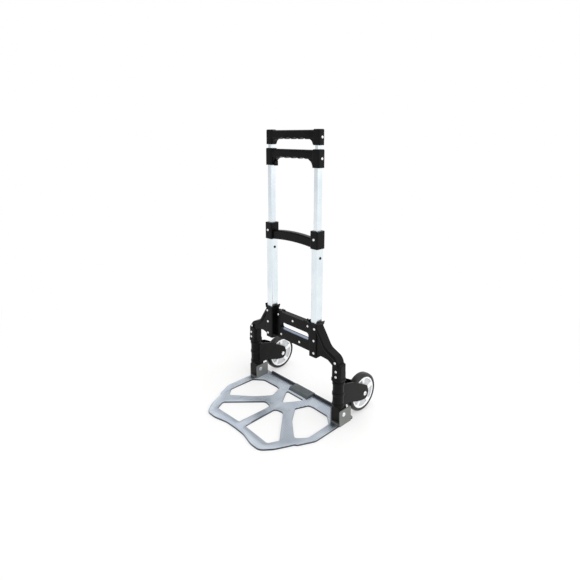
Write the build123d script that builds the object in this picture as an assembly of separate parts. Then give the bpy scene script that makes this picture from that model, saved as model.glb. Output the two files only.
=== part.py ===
from build123d import *
import os

# Folding hand truck, in millimetres. The truck stands upright on its toe plate and wheels:
# +X is the user's right seen from the load side, +Y points back to the wheels, +Z is up.
# The model is drawn with Y = 0 on the front face of the outer tubes and X = 0 half way
# between them, and every node is shifted at export so that the origin is the middle of
# the ground rectangle.

# ---- fits
RUN = 0.05            # radial clearance of a shaft that turns
SEAT = 0.02           # gap left all round a piece that is pressed or screwed home
SLIDE = 0.2           # gap on each side of a sliding guide
GAP = 0.5             # air between faces of bodies that pass each other

# ---- telescopic tubes: width along X, depth along Y, wall, corner radius
TUBE_PITCH = 188.0
OUTER_W, OUTER_D, OUTER_WALL = 23.0, 27.0, 1.5
MID_WALL, INNER_WALL = 1.2, 1.1
OUTER_LINER = 2.0     # room for the guides between outer and middle tube
MID_LINER = 0.8       # room for the guides between middle and inner tube
TUBE_CORNER = 4.0
STROKE = 165.0        # travel of each telescopic stage
MID_HOLD = 90.0       # length of middle tube still inside the outer tube when drawn out
INNER_HOLD = 36.5     # length of inner tube still inside the middle tube when drawn out

# ---- heights, from the floor up
SLEEVE_BOTTOM = 55.0
SLEEVE_HEIGHT = 79.0
COLUMN_HEAD = 51.0    # height of the leg's column above the sleeve
SOCKET_RAISE = 43.0   # from the column's bottom to the tube sockets
SOCKET_HEIGHT = 102.0
WINDOW_HEIGHT = 216.0  # open height between the sockets and the mid brace
BRACE_HEIGHT = 50.0
BUTTON_DROP = 26.0    # snap buttons below the brace
LOWER_GRIP_HEIGHT = 49.0
LOWERED_GAP = 6.0     # left between brace and lower grip when the handle is pushed in
HANDLE_GAP = 10.5
TOP_GRIP_HEIGHT = 42.0

# ---- moulded walls
SOCKET_WALL = 2.5
CAP_WALL = 4.0        # end wall over a tube's end
COLLAR_HEIGHT, COLLAR_LIP, HORN_RISE = 7.0, 2.0, 6.0
GRIP_WALL_X, GRIP_WALL_Y = 5.0, 2.5
GRIP_BAR = 25.0       # height of the hand bar
GRIP_DEPTH = 20.0
GRIP_DIP = 2.0        # hand bar below the tops of its sockets
FINGERS, FINGER_PITCH, FINGER_R, FINGER_DEPTH = 4, 27.0, 16.0, 4.5
LOWER_GUSSET, TOP_GUSSET = 20.0, 13.0

# ---- cross member
MEMBER_DEPTH = 18.0
MEMBER_SKIN = 2.0
MEMBER_BEAM = 31.0    # below the hand slot
SLOT_HEIGHT = 23.0
SLOT_MARGIN = 17.0    # between the hand slot and each socket

# ---- toe plate
PLATE_T = 4.0
PLATE_W = 391.0
PLATE_FRONT = 225.0   # reach ahead of the tube faces
PLATE_REAR = 66.0     # reach behind the tube faces
BRACKET_T = 3.0
BRACKET_GAP = 29.5    # clear width between the two ears
BRACKET_LEN, BRACKET_TOP = 48.0, 48.0
EAR_CORNER = 5.0
HINGE_BACK = 4.5      # hinge pin behind the swivel axis
HINGE_Z = 34.0
HINGE_PIN_R = 4.0
FOOT_W, FOOT_LEN, FOOT_RISE = 80.0, 36.0, 8.0
STRIP_RISE = 8.0

# ---- swivelling wheel forks and wheels
SHAFT_R = 6.0
BUSH_R, BUSH_LEN = 8.0, 16.0
SLEEVE_WALL = 8.0
WHEEL_R = 57.5
TYRE_W = 24.0
TYRE_T = 10.0
WHEEL_TRAIL = 103.5   # wheel centre behind the swivel axis
WHEEL_INSET = 2.0     # wheel plane inboard of the swivel axis
ARM_T = 3.0
ARM_GAP = 1.5         # air between tyre and fork arm
AXLE_R = 4.0
BEARING_R, BEARING_W = 11.0, 7.0

# ---- fasteners
SCREW_HEAD_R, SCREW_HEAD_H = 3.8, 1.8
SCREW_R, SCREW_LEN = 1.6, 9.0
RIVET_R = 2.6
BUTTON_R = 4.0

# ---- sizes and places that follow
HALF_PITCH = TUBE_PITCH / 2
TUBE_Y = OUTER_D / 2
MID_W = OUTER_W - 2 * OUTER_WALL - 2 * OUTER_LINER
MID_D = OUTER_D - 2 * OUTER_WALL - 2 * OUTER_LINER
INNER_W = MID_W - 2 * MID_WALL - 2 * MID_LINER
INNER_D = MID_D - 2 * MID_WALL - 2 * MID_LINER
INNER_CORNER = TUBE_CORNER - MID_WALL - 0.5
COLUMN_R = BUSH_R + SLEEVE_WALL
SLEEVE_TOP = SLEEVE_BOTTOM + SLEEVE_HEIGHT
LEG_BOTTOM = SLEEVE_TOP + 2 * GAP
COLUMN_TOP = LEG_BOTTOM + COLUMN_HEAD
SOCKET_BOTTOM = LEG_BOTTOM + SOCKET_RAISE
SOCKET_TOP = SOCKET_BOTTOM + SOCKET_HEIGHT
BRACE_BOTTOM = SOCKET_TOP + WINDOW_HEIGHT
BRACE_TOP = BRACE_BOTTOM + BRACE_HEIGHT
BUTTON_Z = BRACE_BOTTOM - BUTTON_DROP
TUBE_TOP = BRACE_TOP - CAP_WALL
MID_BOTTOM = TUBE_TOP - MID_HOLD
LOWER_GRIP_BOTTOM = BRACE_TOP + LOWERED_GAP + STROKE
LOWER_GRIP_TOP = LOWER_GRIP_BOTTOM + LOWER_GRIP_HEIGHT
MID_TOP = LOWER_GRIP_TOP - CAP_WALL
INNER_BOTTOM = MID_TOP - STROKE - INNER_HOLD
TOP_GRIP_BOTTOM = LOWER_GRIP_TOP + HANDLE_GAP
TOP_GRIP_TOP = TOP_GRIP_BOTTOM + TOP_GRIP_HEIGHT
GRIP_HALF_W = MID_W / 2 + GRIP_WALL_X
SOCKET_HALF_W = OUTER_W / 2 + SOCKET_WALL
SOCKET_HALF_D = OUTER_D / 2 + SOCKET_WALL
SOCKET_FRONT = TUBE_Y - SOCKET_HALF_D
MEMBER_HALF = HALF_PITCH - SOCKET_HALF_W - SEAT
MEMBER_FRONT = TUBE_Y - 0.5
MEMBER_REAR = MEMBER_FRONT + MEMBER_DEPTH
MEMBER_BOTTOM = SOCKET_BOTTOM + 4
MEMBER_TOP = SOCKET_TOP - 12
SLOT_BOTTOM = MEMBER_BOTTOM + MEMBER_BEAM
SLOT_TOP = SLOT_BOTTOM + SLOT_HEIGHT
SLOT_HALF = MEMBER_HALF - SLOT_MARGIN
PLATE_HALF = PLATE_W / 2
COLUMN_X = PLATE_HALF - BRACKET_GAP / 2
COLUMN_Y = TUBE_Y
HINGE_Y = COLUMN_Y + HINGE_BACK
BRACKET_Y0 = HINGE_Y - BRACKET_LEN / 3
EAR_IN = COLUMN_X - BRACKET_GAP / 2
EAR_OUT = COLUMN_X + BRACKET_GAP / 2
WHEEL_X = COLUMN_X - WHEEL_INSET
WHEEL_Y = COLUMN_Y + WHEEL_TRAIL
ARM_IN = TYRE_W / 2 + ARM_GAP
ARM_OUT = ARM_IN + ARM_T
HUB_HALF = TYRE_W / 2 - 1
SIDES = {"left": -1, "right": 1}


# ------------------------------------------------------------------ helpers

def block(x, y, z):
    """A box from three (low, high) pairs."""
    size = [hi - lo for lo, hi in (x, y, z)]
    middle = [(hi + lo) / 2 for lo, hi in (x, y, z)]
    return Pos(*middle) * Box(*size)


def upright(x, y, z, radius):
    """A vertical cylinder between two heights."""
    return Pos(x, y, (z[0] + z[1]) / 2) * Cylinder(radius, z[1] - z[0])


def crosswise(x, y, z, radius):
    """A cylinder along X between two X values."""
    return Pos((x[0] + x[1]) / 2, y, z) * Rot(0, 90, 0) * Cylinder(radius, x[1] - x[0])


def rounded_bar(width, depth, corner, z, x=0.0, y=TUBE_Y):
    """An upright bar with rounded corners between two heights."""
    section = Pos(x, y, z[0]) * RectangleRounded(width, depth, corner)
    return extrude(section, z[1] - z[0])


def tube(width, depth, wall, z, x):
    """A rounded rectangular tube between two heights."""
    outside = rounded_bar(width, depth, TUBE_CORNER, z, x)
    bore = rounded_bar(width - 2 * wall, depth - 2 * wall, TUBE_CORNER - wall, z, x)
    return outside - bore


def ring(outer, inner, z, x):
    """A rounded rectangular ring: outer and inner are (width, depth, corner)."""
    return rounded_bar(*outer, z, x) - rounded_bar(*inner, z, x)


def outline(points):
    """A closed outline from (x, y, corner radius) points."""
    corners = [(x, y) for x, y, _ in points]
    radii = [radius for _, _, radius in points]
    return make_face(FilletPolyline(*corners, radius=radii, close=True))


def front_face(points, y):
    """An outline drawn in X and Z, standing at depth y and facing the load."""
    return Pos(0, y, 0) * Rot(90, 0, 0) * outline(points)


def side_face(points, x):
    """An outline drawn in Y and Z, standing at x."""
    return Plane(origin=(x, 0, 0), x_dir=(0, 1, 0), z_dir=(1, 0, 0)) * outline(points)


def along_y(face, y0, y1):
    """Extrude a front face from depth y0 to depth y1."""
    return extrude(Pos(0, y0, 0) * face, y1 - y0, dir=(0, 1, 0))


def along_x(face, x0, x1):
    """Extrude a side face from x0 to x1."""
    return extrude(Pos(x0, 0, 0) * face, x1 - x0, dir=(1, 0, 0))


def flip(shape):
    """The same shape on the left side."""
    return mirror(shape, Plane.YZ)


def screw(place, length=SCREW_LEN, head=SCREW_HEAD_R):
    """A domed screw whose head stands on the place's plane, with a hexagon socket."""
    cap = fillet(Cylinder(head, SCREW_HEAD_H).edges().sort_by(Axis.Z)[-1], SCREW_HEAD_H * 0.8)
    shank = Pos(0, 0, -(length + SCREW_HEAD_H) / 2) * Cylinder(SCREW_R, length)
    socket = extrude(Pos(0, 0, -0.1) * RegularPolygon(head * 0.42, 6), SCREW_HEAD_H)
    return place * Pos(0, 0, SCREW_HEAD_H / 2) * (cap + shank - socket)


def on_front(x, y, z):
    """A plane at a point, facing the load side."""
    return Plane(origin=(x, y, z), x_dir=(1, 0, 0), z_dir=(0, -1, 0))


def on_side(x, y, z, way=1):
    """A plane at a point, facing +X or -X."""
    return Plane(origin=(x, y, z), x_dir=(0, 1, 0), z_dir=(way, 0, 0))


def on_top(x, y, z):
    """A plane at a point, facing up."""
    return Plane(origin=(x, y, z), x_dir=(1, 0, 0), z_dir=(0, 0, 1))


def screw_holes(places, length=SCREW_LEN):
    """Clearance holes for screws at these planes."""
    return [p * Pos(0, 0, -length / 2) * Cylinder(SCREW_R + SEAT, length + 2 * SEAT) for p in places]


# ------------------------------------------------------------------ toe plate

# Corners as (x, y, radius); x is a share of the half width, y a share of the reach ahead or behind.
EDGE = [(0.0, -0.945, 60), (0.20, -0.95, 80), (0.42, -1.0, 60), (0.60, -1.0, 26), (0.726, -0.867, 30),
        (0.818, -0.702, 6), (0.849, -0.636, 4), (0.885, -0.622, 6), (1.0, -0.409, 24), (1.0, 1.0, 6)]
FRONT_HOLE = [(0.066, -0.836, 6), (0.056, -0.320, 12), (0.205, -0.298, 14), (0.655, -0.720, 8),
              (0.578, -0.858, 8)]
REAR_HOLE = [(0.256, -0.124, 6), (0.338, 0.197, 9), (0.419, 0.242, 6), (0.716, 0.212, 14), (0.870, -0.053, 14),
             (0.880, -0.436, 12), (0.752, -0.560, 8), (0.435, -0.329, 12)]
CENTRE_HOLE = [(-0.199, 0.333, 5), (0.199, 0.333, 5), (0.0, -0.16, 6)]
RIVET_SPOTS = [(COLUMN_X + dx, BRACKET_Y0 + BRACKET_LEN - 10) for dx in (-8, 8)]


def on_plate(points):
    """Turn shares of the plate into places."""
    return [(x * PLATE_HALF, y * (PLATE_REAR if y > 0 else PLATE_FRONT), radius) for x, y, radius in points]


def plate_outline():
    """The plate's edge: the right half and its mirror image."""
    right = on_plate(EDGE)
    return outline(right + [(-x, y, radius) for x, y, radius in reversed(right[1:])])


def hole_tools():
    """Solids that cut the five windows."""
    tools = []
    for points in (FRONT_HOLE, REAR_HOLE):
        cutter = Pos(0, 0, -1) * extrude(outline(on_plate(points)), PLATE_T + 2)
        tools += [cutter, flip(cutter)]
    return tools + [Pos(0, 0, -1) * extrude(outline(on_plate(CENTRE_HOLE)), PLATE_T + 2)]


def toe_plate():
    body = extrude(plate_outline(), PLATE_T) - hole_tools()
    for x, y in RIVET_SPOTS:
        for side in SIDES.values():
            body -= upright(side * x, y, (-1, PLATE_T + 1), RIVET_R + SEAT)
    return body


def rear_edge_strip():
    """A pressed rail on the plate's rear edge, broken at the foot."""
    half = block((FOOT_W / 2 + SEAT, EAR_IN - BRACKET_T - 8),
                 (PLATE_REAR - 5, PLATE_REAR - 0.5), (PLATE_T, PLATE_T + STRIP_RISE))
    half = fillet(half.edges().filter_by(Axis.X).group_by(Axis.Z)[-1], 1.5)
    return [half, flip(half)]


def stand_foot():
    """The pad that the folded truck stands on: it clips over the middle of the rear edge."""
    y0, y1 = PLATE_REAR - FOOT_LEN, PLATE_REAR + 3
    top = PLATE_T + FOOT_RISE
    base, back = PLATE_T + SEAT, PLATE_REAR + SEAT
    profile = [(y0, base, 0.8), (y0 + 7, top, 3), (y1, top, 3.5), (y1, 0.8, 1),
               (back, 0.8, 0.3), (back, base, 0.02)]
    return along_x(side_face(profile, 0), -FOOT_W / 2, FOOT_W / 2)


def plate_bracket():
    """Right-hand U bracket: a base riveted to the plate and two ears that carry the hinge pin."""
    y0, y1 = BRACKET_Y0, BRACKET_Y0 + BRACKET_LEN
    face = EAR_OUT + SEAT
    base = block((EAR_IN - BRACKET_T, face), (y0, y1), (PLATE_T, PLATE_T + BRACKET_T))
    ear = [(y0, BRACKET_TOP, EAR_CORNER), (y1, BRACKET_TOP, EAR_CORNER)]
    inner = along_x(side_face([(y0, PLATE_T, 0.5)] + ear + [(y1, PLATE_T, 0.5)], 0), EAR_IN - BRACKET_T, EAR_IN)
    outer = along_x(side_face([(y0, 0.5, 0.5)] + ear + [(y1, 0.5, 0.5)], 0), face, face + BRACKET_T)
    body = base + inner + outer
    body -= crosswise((EAR_IN - 10, EAR_OUT + 10), HINGE_Y, HINGE_Z, HINGE_PIN_R + SEAT)
    for x, y in RIVET_SPOTS:
        body -= upright(x, y, (PLATE_T - 1, PLATE_T + BRACKET_T + 1), RIVET_R + SEAT)
    return body


def bracket_rivets():
    """Two rivets for each bracket, domed above the base and flush below the plate."""
    rivets = []
    for x, y in RIVET_SPOTS:
        shank = upright(x, y, (0.2, PLATE_T + BRACKET_T), RIVET_R)
        head = upright(x, y, (PLATE_T + BRACKET_T, PLATE_T + BRACKET_T + 1.6), RIVET_R + 1.4)
        head = fillet(head.edges().sort_by(Axis.Z)[-1], 1.3)
        rivets += [shank + head, flip(shank + head)]
    return rivets


def hinge_pin():
    """Right-hand hinge pin, riveted over outside both ears."""
    x0, x1 = EAR_IN - BRACKET_T, EAR_OUT + SEAT + BRACKET_T
    pin = crosswise((x0, x1), HINGE_Y, HINGE_Z, HINGE_PIN_R)
    for x, end in ((x0 - 2, 0), (x1, -1)):
        head = crosswise((x, x + 2), HINGE_Y, HINGE_Z, HINGE_PIN_R + 2.2)
        pin += fillet(head.edges().sort_by(Axis.X)[end], 1.5)
    return pin


# ------------------------------------------------------------------ legs, column and hinge block

def leg_screw_planes():
    """Screws on the front of the right leg."""
    column = COLUMN_Y - COLUMN_R
    return [on_front(HALF_PITCH + 5, SOCKET_FRONT, SOCKET_BOTTOM + 51),
            on_front(HALF_PITCH + 5, SOCKET_FRONT, SOCKET_BOTTOM + 13),
            on_front(HALF_PITCH + 7, SOCKET_FRONT, SOCKET_TOP - 15),
            on_front(COLUMN_X - 1, column, COLUMN_TOP + 4), on_front(COLUMN_X + 3, column, COLUMN_TOP - 20),
            on_front(COLUMN_X + 3, column, LEG_BOTTOM + 15)]


def leg():
    """Right leg moulding: tube socket, curved outer rib, web and the head of the swivel column."""
    reach = COLUMN_X - HALF_PITCH
    elbow, knee = HALF_PITCH + 0.52 * reach, COLUMN_X - 2
    rear = TUBE_Y + SOCKET_HALF_D
    socket = rounded_bar(2 * SOCKET_HALF_W, 2 * SOCKET_HALF_D, 3, (SOCKET_BOTTOM, SOCKET_TOP), HALF_PITCH)
    collar = rounded_bar(2 * (SOCKET_HALF_W + COLLAR_LIP), 2 * (SOCKET_HALF_D + COLLAR_LIP), 4,
                         (SOCKET_TOP - COLLAR_HEIGHT, SOCKET_TOP), HALF_PITCH)
    collar = chamfer(collar.edges().group_by(Axis.Z)[0], COLLAR_LIP - 0.3)
    for way in (-1, 1):
        horn = [(1, -2, 0.2), (COLLAR_LIP - 0.5, -COLLAR_HEIGHT + 1, 0.5), (COLLAR_LIP + 3, HORN_RISE - 1, 0.8),
                (COLLAR_LIP + 1, HORN_RISE, 0.8)]
        horn = [(HALF_PITCH + way * (SOCKET_HALF_W + x), SOCKET_TOP + z, r) for x, z, r in horn]
        collar += along_y(front_face(horn[::way], 0), SOCKET_FRONT + 1, rear - 1)
    path = FilletPolyline((HALF_PITCH + 7, SOCKET_TOP - 7), (HALF_PITCH + 0.30 * reach, COLUMN_TOP + 59),
                          (elbow, COLUMN_TOP + 29), (knee, COLUMN_TOP + 12), (COLUMN_X + 9, COLUMN_TOP - 26),
                          (COLUMN_X + 9, LEG_BOTTOM + 6), radius=[60, 40, 22, 40])
    path = Pos(0, TUBE_Y, 0) * Rot(90, 0, 0) * path
    section = Plane(origin=path @ 0, z_dir=path % 0, x_dir=(0, 1, 0)) * RectangleRounded(
        2 * SOCKET_HALF_D, 12, 5.5)
    rib = sweep(section, path)
    edge = [(HALF_PITCH + 6, SOCKET_TOP - 10, 1), (HALF_PITCH + 0.30 * reach, COLUMN_TOP + 58, 30),
            (elbow, COLUMN_TOP + 28, 20), (knee, COLUMN_TOP + 11, 12),
            (COLUMN_X + 6, COLUMN_TOP - 2, 2), (COLUMN_X - 14, COLUMN_TOP - 8, 4),
            (elbow + 0.14 * reach, COLUMN_TOP + 2, 10), (elbow - 0.16 * reach, COLUMN_TOP + 4, 8),
            (HALF_PITCH + 8, SOCKET_BOTTOM + 6, 2)]
    edge = front_face(edge, 0)
    web = along_y(edge, SOCKET_FRONT + 3.5, SOCKET_FRONT + 8.5) + along_y(edge, rear - 7.5, rear - 4.5)
    for share in (0.32, 0.48, 0.64):
        x = HALF_PITCH + share * reach
        slab = block((x - 1.5, x + 1.5), (SOCKET_FRONT, rear), (LEG_BOTTOM, SOCKET_TOP))
        web += along_y(edge, SOCKET_FRONT + 8, rear - 7) & slab
    head = rounded_bar(2 * COLUMN_R, 2 * COLUMN_R, 9, (LEG_BOTTOM, COLUMN_TOP), COLUMN_X, COLUMN_Y)
    head = fillet(head.edges().group_by(Axis.Z)[-1], 5)
    ring_z = (LEG_BOTTOM, LEG_BOTTOM + 8)
    head += chamfer(rounded_bar(2 * COLUMN_R + 3, 2 * COLUMN_R + 3, 10, ring_z, COLUMN_X, COLUMN_Y).edges()
                    .group_by(Axis.Z)[-1], 1.2)
    body = socket + collar + rib + web + head
    for plane in leg_screw_planes()[3:]:
        body += plane * Pos(0, 0, -6) * Cylinder(SCREW_HEAD_R + 1.7, 12)
    body -= rounded_bar(OUTER_W + 2 * SEAT, OUTER_D + 2 * SEAT, TUBE_CORNER + SEAT,
                        (SOCKET_BOTTOM + CAP_WALL, SOCKET_TOP + 1), HALF_PITCH)
    body -= upright(COLUMN_X, COLUMN_Y, (LEG_BOTTOM - 1, COLUMN_TOP - 5), SHAFT_R + SEAT)
    return body - screw_holes(leg_screw_planes(), 2.0)


def leg_screws():
    right = [screw(plane, 2.0) for plane in leg_screw_planes()]
    return right + [flip(s) for s in right]


def pivot_shaft():
    """Right swivel shaft: fixed in the leg above and in the hinge block below."""
    return upright(COLUMN_X, COLUMN_Y, (HINGE_Z + HINGE_PIN_R + 2.5, COLUMN_TOP - 5 - SEAT), SHAFT_R)


def hinge_block():
    """Right hinge block: turns between the bracket ears on the hinge pin and holds the shaft."""
    x = (EAR_IN + GAP, EAR_OUT - GAP)
    y = (HINGE_Y - 15, HINGE_Y + 15)
    top = SLEEVE_BOTTOM - 2 * GAP
    body = crosswise(x, HINGE_Y, HINGE_Z, HINGE_Z - PLATE_T - BRACKET_T - 2 * GAP)
    body &= block(x, y, (0, HINGE_Z))
    body += block(x, y, (HINGE_Z, top))
    body -= crosswise((x[0] - 1, x[1] + 1), HINGE_Y, HINGE_Z, HINGE_PIN_R + RUN)
    return body - upright(COLUMN_X, COLUMN_Y, (HINGE_Z + HINGE_PIN_R + 2.5 - SEAT, top + 1), SHAFT_R + SEAT)


# ------------------------------------------------------------------ cross member

def member_screw_planes():
    """Screws on the front of the cross member, above and below the hand slot."""
    above, below = SLOT_TOP + 21, SLOT_BOTTOM - 17
    spots = [(-MEMBER_HALF + 12, above), (-3, above - 3), (MEMBER_HALF - 20, above), (-MEMBER_HALF + 26, below),
             (26, below), (MEMBER_HALF - 8, SLOT_BOTTOM + 13), (MEMBER_HALF - 8, SLOT_BOTTOM - 23)]
    return [on_front(x, MEMBER_FRONT, z) for x, z in spots]


def slot_tool():
    """The hand slot, cut right through."""
    face = Pos(0, 0, (SLOT_BOTTOM + SLOT_TOP) / 2) * Rot(90, 0, 0) * RectangleRounded(
        2 * SLOT_HALF, SLOT_HEIGHT, 8)
    return along_y(face, MEMBER_FRONT - 5, MEMBER_REAR + 5)


def member_sheet(y0, y1):
    """One moulded face of the cross member, with its lugs along the top edge."""
    half = MEMBER_HALF
    edge = [(-half, MEMBER_BOTTOM + 2, 2), (-half, MEMBER_TOP, 2), (half, MEMBER_TOP, 2),
            (half, MEMBER_BOTTOM + 2, 2), (half - 14, MEMBER_BOTTOM, 3), (-half + 14, MEMBER_BOTTOM, 3)]
    sheet = along_y(front_face(edge, 0), y0, y1)
    for x in (-half + 16, -half + 24, half - 36, half - 28):
        sheet += block((x - 2.5, x + 2.5), (y0, y1), (MEMBER_TOP - 1, MEMBER_TOP + 3))
    return sheet


def cross_bar():
    """Hollow aluminium bar between the two sockets; it fills the member up to the slot."""
    x = (-MEMBER_HALF, MEMBER_HALF)
    y0, y1 = MEMBER_FRONT + MEMBER_SKIN + SEAT, MEMBER_REAR - MEMBER_SKIN - SEAT
    z0, z1 = MEMBER_BOTTOM + 3, SLOT_BOTTOM
    bar = block(x, (y0, y1), (z0, z1))
    bar = fillet(bar.edges().filter_by(Axis.X), 2.0)
    bore = block((x[0] - 1, x[1] + 1), (y0 + 2, y1 - 2), (z0 + 2, z1 - 2))
    return bar - bore - screw_holes(member_screw_planes())


def cross_member_front():
    """Front face with the upper beam behind it."""
    y = (MEMBER_FRONT + MEMBER_SKIN, MEMBER_REAR - MEMBER_SKIN - SEAT)
    x = (-MEMBER_HALF, MEMBER_HALF)
    body = member_sheet(MEMBER_FRONT, y[0])
    body += block(x, y, (SLOT_TOP, SLOT_TOP + 3)) + block(x, y, (MEMBER_TOP - 3, MEMBER_TOP))
    bosses = [plane.origin.X for plane in member_screw_planes()[:3]] + [-MEMBER_HALF / 2, MEMBER_HALF / 3]
    for boss in bosses:
        body += block((boss - 4, boss + 4), y, (SLOT_TOP + 2, MEMBER_TOP - 2))
    for side in SIDES.values():
        edge = sorted((side * MEMBER_HALF, side * (SLOT_HALF + 1)))
        body += block(edge, y, (SLOT_BOTTOM + 2, SLOT_TOP + 1))
    return body - slot_tool() - screw_holes(member_screw_planes())


def cross_member_rear():
    return member_sheet(MEMBER_REAR - MEMBER_SKIN, MEMBER_REAR) - slot_tool()


def cross_member_screws():
    return [screw(plane) for plane in member_screw_planes()]


# ------------------------------------------------------------------ mid brace and tubes

def brace_screw_planes():
    return [on_front(side * (HALF_PITCH + 1), SOCKET_FRONT, BRACE_BOTTOM + 27) for side in SIDES.values()]


def mid_brace():
    """Two sockets on top of the outer tubes, joined by an arched bar."""
    half = HALF_PITCH - SOCKET_HALF_W + 1
    arch = Line((-half, 0), (-half, 27)) + ThreePointArc((-half, 27), (0, 33), (half, 27)) + Line(
        (half, 27), (half, 0)) + ThreePointArc((half, 0), (0, 5), (-half, 0))
    bar = along_y(Pos(0, 0, BRACE_BOTTOM) * Rot(90, 0, 0) * make_face(arch), TUBE_Y - 9.5, TUBE_Y + 9.5)
    body = fillet(bar.edges().filter_by(lambda e: e.length > half), 4)
    for side in SIDES.values():
        x = side * HALF_PITCH
        socket = rounded_bar(2 * SOCKET_HALF_W, 2 * SOCKET_HALF_D, 4, (BRACE_BOTTOM, BRACE_TOP), x)
        body += fillet(socket.edges().group_by(Axis.Z)[0] + socket.edges().group_by(Axis.Z)[-1], 1.2)
    for side in SIDES.values():
        x, below, above = side * HALF_PITCH, (BRACE_BOTTOM - 1, TUBE_TOP), (TUBE_TOP - 1, BRACE_TOP + 1)
        body -= rounded_bar(OUTER_W + 2 * SEAT, OUTER_D + 2 * SEAT, TUBE_CORNER + SEAT, below, x)
        body -= rounded_bar(MID_W + 2 * GAP, MID_D + 2 * GAP, TUBE_CORNER + GAP, above, x)
    return body - screw_holes(brace_screw_planes(), 1.5)


def brace_screws():
    return [screw(plane, 1.5) for plane in brace_screw_planes()]


def outer_tube(side):
    """Lower tube of one side, with the button hole in its +X wall."""
    body = tube(OUTER_W, OUTER_D, OUTER_WALL, (SOCKET_BOTTOM + CAP_WALL + SEAT, TUBE_TOP), side * HALF_PITCH)
    wall = side * HALF_PITCH + OUTER_W / 2
    return body - crosswise((wall - OUTER_WALL - 1, wall + 1), TUBE_Y, BUTTON_Z, BUTTON_R + RUN)


def outer_guides():
    """Plastic liners in the mouths of the outer tubes."""
    wide = (OUTER_W - 2 * OUTER_WALL - 2 * SEAT, OUTER_D - 2 * OUTER_WALL - 2 * SEAT, TUBE_CORNER - OUTER_WALL)
    hole = (MID_W + 2 * SLIDE, MID_D + 2 * SLIDE, TUBE_CORNER + SLIDE)
    return [ring(wide, hole, (TUBE_TOP - 22, TUBE_TOP), side * HALF_PITCH) for side in SIDES.values()]


def snap_button(side):
    """Sprung release button in the outer tube's wall; a flange inside keeps it in."""
    wall = side * HALF_PITCH + OUTER_W / 2 - OUTER_WALL
    stem = crosswise((wall - 0.1, wall + OUTER_WALL + 1.6), TUBE_Y, BUTTON_Z, BUTTON_R)
    stem = fillet(stem.edges().sort_by(Axis.X)[-1], 1.2)
    return stem + crosswise((wall - 0.9, wall - 0.1), TUBE_Y, BUTTON_Z, BUTTON_R + 1.5)


def mid_tube(side):
    """Middle tube of one side."""
    return tube(MID_W, MID_D, MID_WALL, (MID_BOTTOM, MID_TOP), side * HALF_PITCH)


def mid_feet():
    """Guides round the lower ends of the middle tubes."""
    wide = (OUTER_W - 2 * OUTER_WALL - 2 * SLIDE, OUTER_D - 2 * OUTER_WALL - 2 * SLIDE,
            TUBE_CORNER - OUTER_WALL)
    hole = (MID_W + 2 * SEAT, MID_D + 2 * SEAT, TUBE_CORNER + SEAT)
    return [ring(wide, hole, (MID_BOTTOM, MID_BOTTOM + 11), side * HALF_PITCH) for side in SIDES.values()]


def mid_guides():
    """Plastic liners in the mouths of the middle tubes."""
    wide = (MID_W - 2 * MID_WALL - 2 * SEAT, MID_D - 2 * MID_WALL - 2 * SEAT, TUBE_CORNER - MID_WALL)
    hole = (INNER_W + SLIDE, INNER_D + SLIDE, TUBE_CORNER - MID_WALL - 0.4)
    return [ring(wide, hole, (MID_TOP - 20, MID_TOP), side * HALF_PITCH) for side in SIDES.values()]


def inner_tube(side):
    """Inner tube of one side."""
    bore = (INNER_W - 2 * INNER_WALL, INNER_D - 2 * INNER_WALL, INNER_CORNER - INNER_WALL)
    z = (INNER_BOTTOM, TOP_GRIP_TOP - CAP_WALL)
    return ring((INNER_W, INNER_D, INNER_CORNER), bore, z, side * HALF_PITCH)


def inner_feet():
    """Guides round the lower ends of the inner tubes."""
    wide = (MID_W - 2 * MID_WALL - SLIDE, MID_D - 2 * MID_WALL - SLIDE, TUBE_CORNER - MID_WALL)
    hole = (INNER_W + 2 * SEAT, INNER_D + 2 * SEAT, INNER_CORNER)
    return [ring(wide, hole, (INNER_BOTTOM, INNER_BOTTOM + 12), side * HALF_PITCH) for side in SIDES.values()]


# ------------------------------------------------------------------ hand grips

def grip(bottom, height, core_w, core_d, corner, gusset):
    """A moulded grip: two sockets, a bar with finger grooves under it and a gusset at each end."""
    half_d = core_d / 2 + GRIP_WALL_Y
    top = bottom + height
    inside = HALF_PITCH - GRIP_HALF_W
    bar_top = top - GRIP_DIP
    under = bar_top - GRIP_BAR
    y0, y1 = TUBE_Y - GRIP_DEPTH / 2, TUBE_Y + GRIP_DEPTH / 2
    section = [(y0, under, 5), (y0, bar_top, 7), (y1, bar_top, 7), (y1, under, 5)]
    body = along_x(side_face(section, 0), -inside - 2, inside + 2)
    first = -FINGER_PITCH * (FINGERS - 1) / 2
    for i in range(FINGERS):
        groove = Pos(first + i * FINGER_PITCH, TUBE_Y, under + FINGER_DEPTH - FINGER_R)
        body -= groove * Rot(90, 0, 0) * Cylinder(FINGER_R, GRIP_DEPTH + 2)
    heel = [(-inside - 2, top - 12, 1), (-inside - 2, under - gusset, 0.5), (-inside + 1, under - gusset, 1),
            (-inside + gusset * 0.3, under - gusset * 0.3, gusset), (-inside + gusset, under, gusset * 0.6),
            (-inside + gusset, top - 12, 1)]
    heel = along_y(front_face(heel, 0), y0 + 2, y1 - 2)
    body += [heel, flip(heel)]
    for side in SIDES.values():
        x = side * HALF_PITCH
        socket = rounded_bar(2 * GRIP_HALF_W, 2 * half_d, 5, (bottom, top), x)
        socket = fillet(socket.edges().group_by(Axis.Z)[-1], 3.5)
        body += socket
        body -= rounded_bar(core_w + 2 * SEAT, core_d + 2 * SEAT, corner + SEAT,
                            (bottom - 1, top - CAP_WALL), x)
    return body


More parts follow.
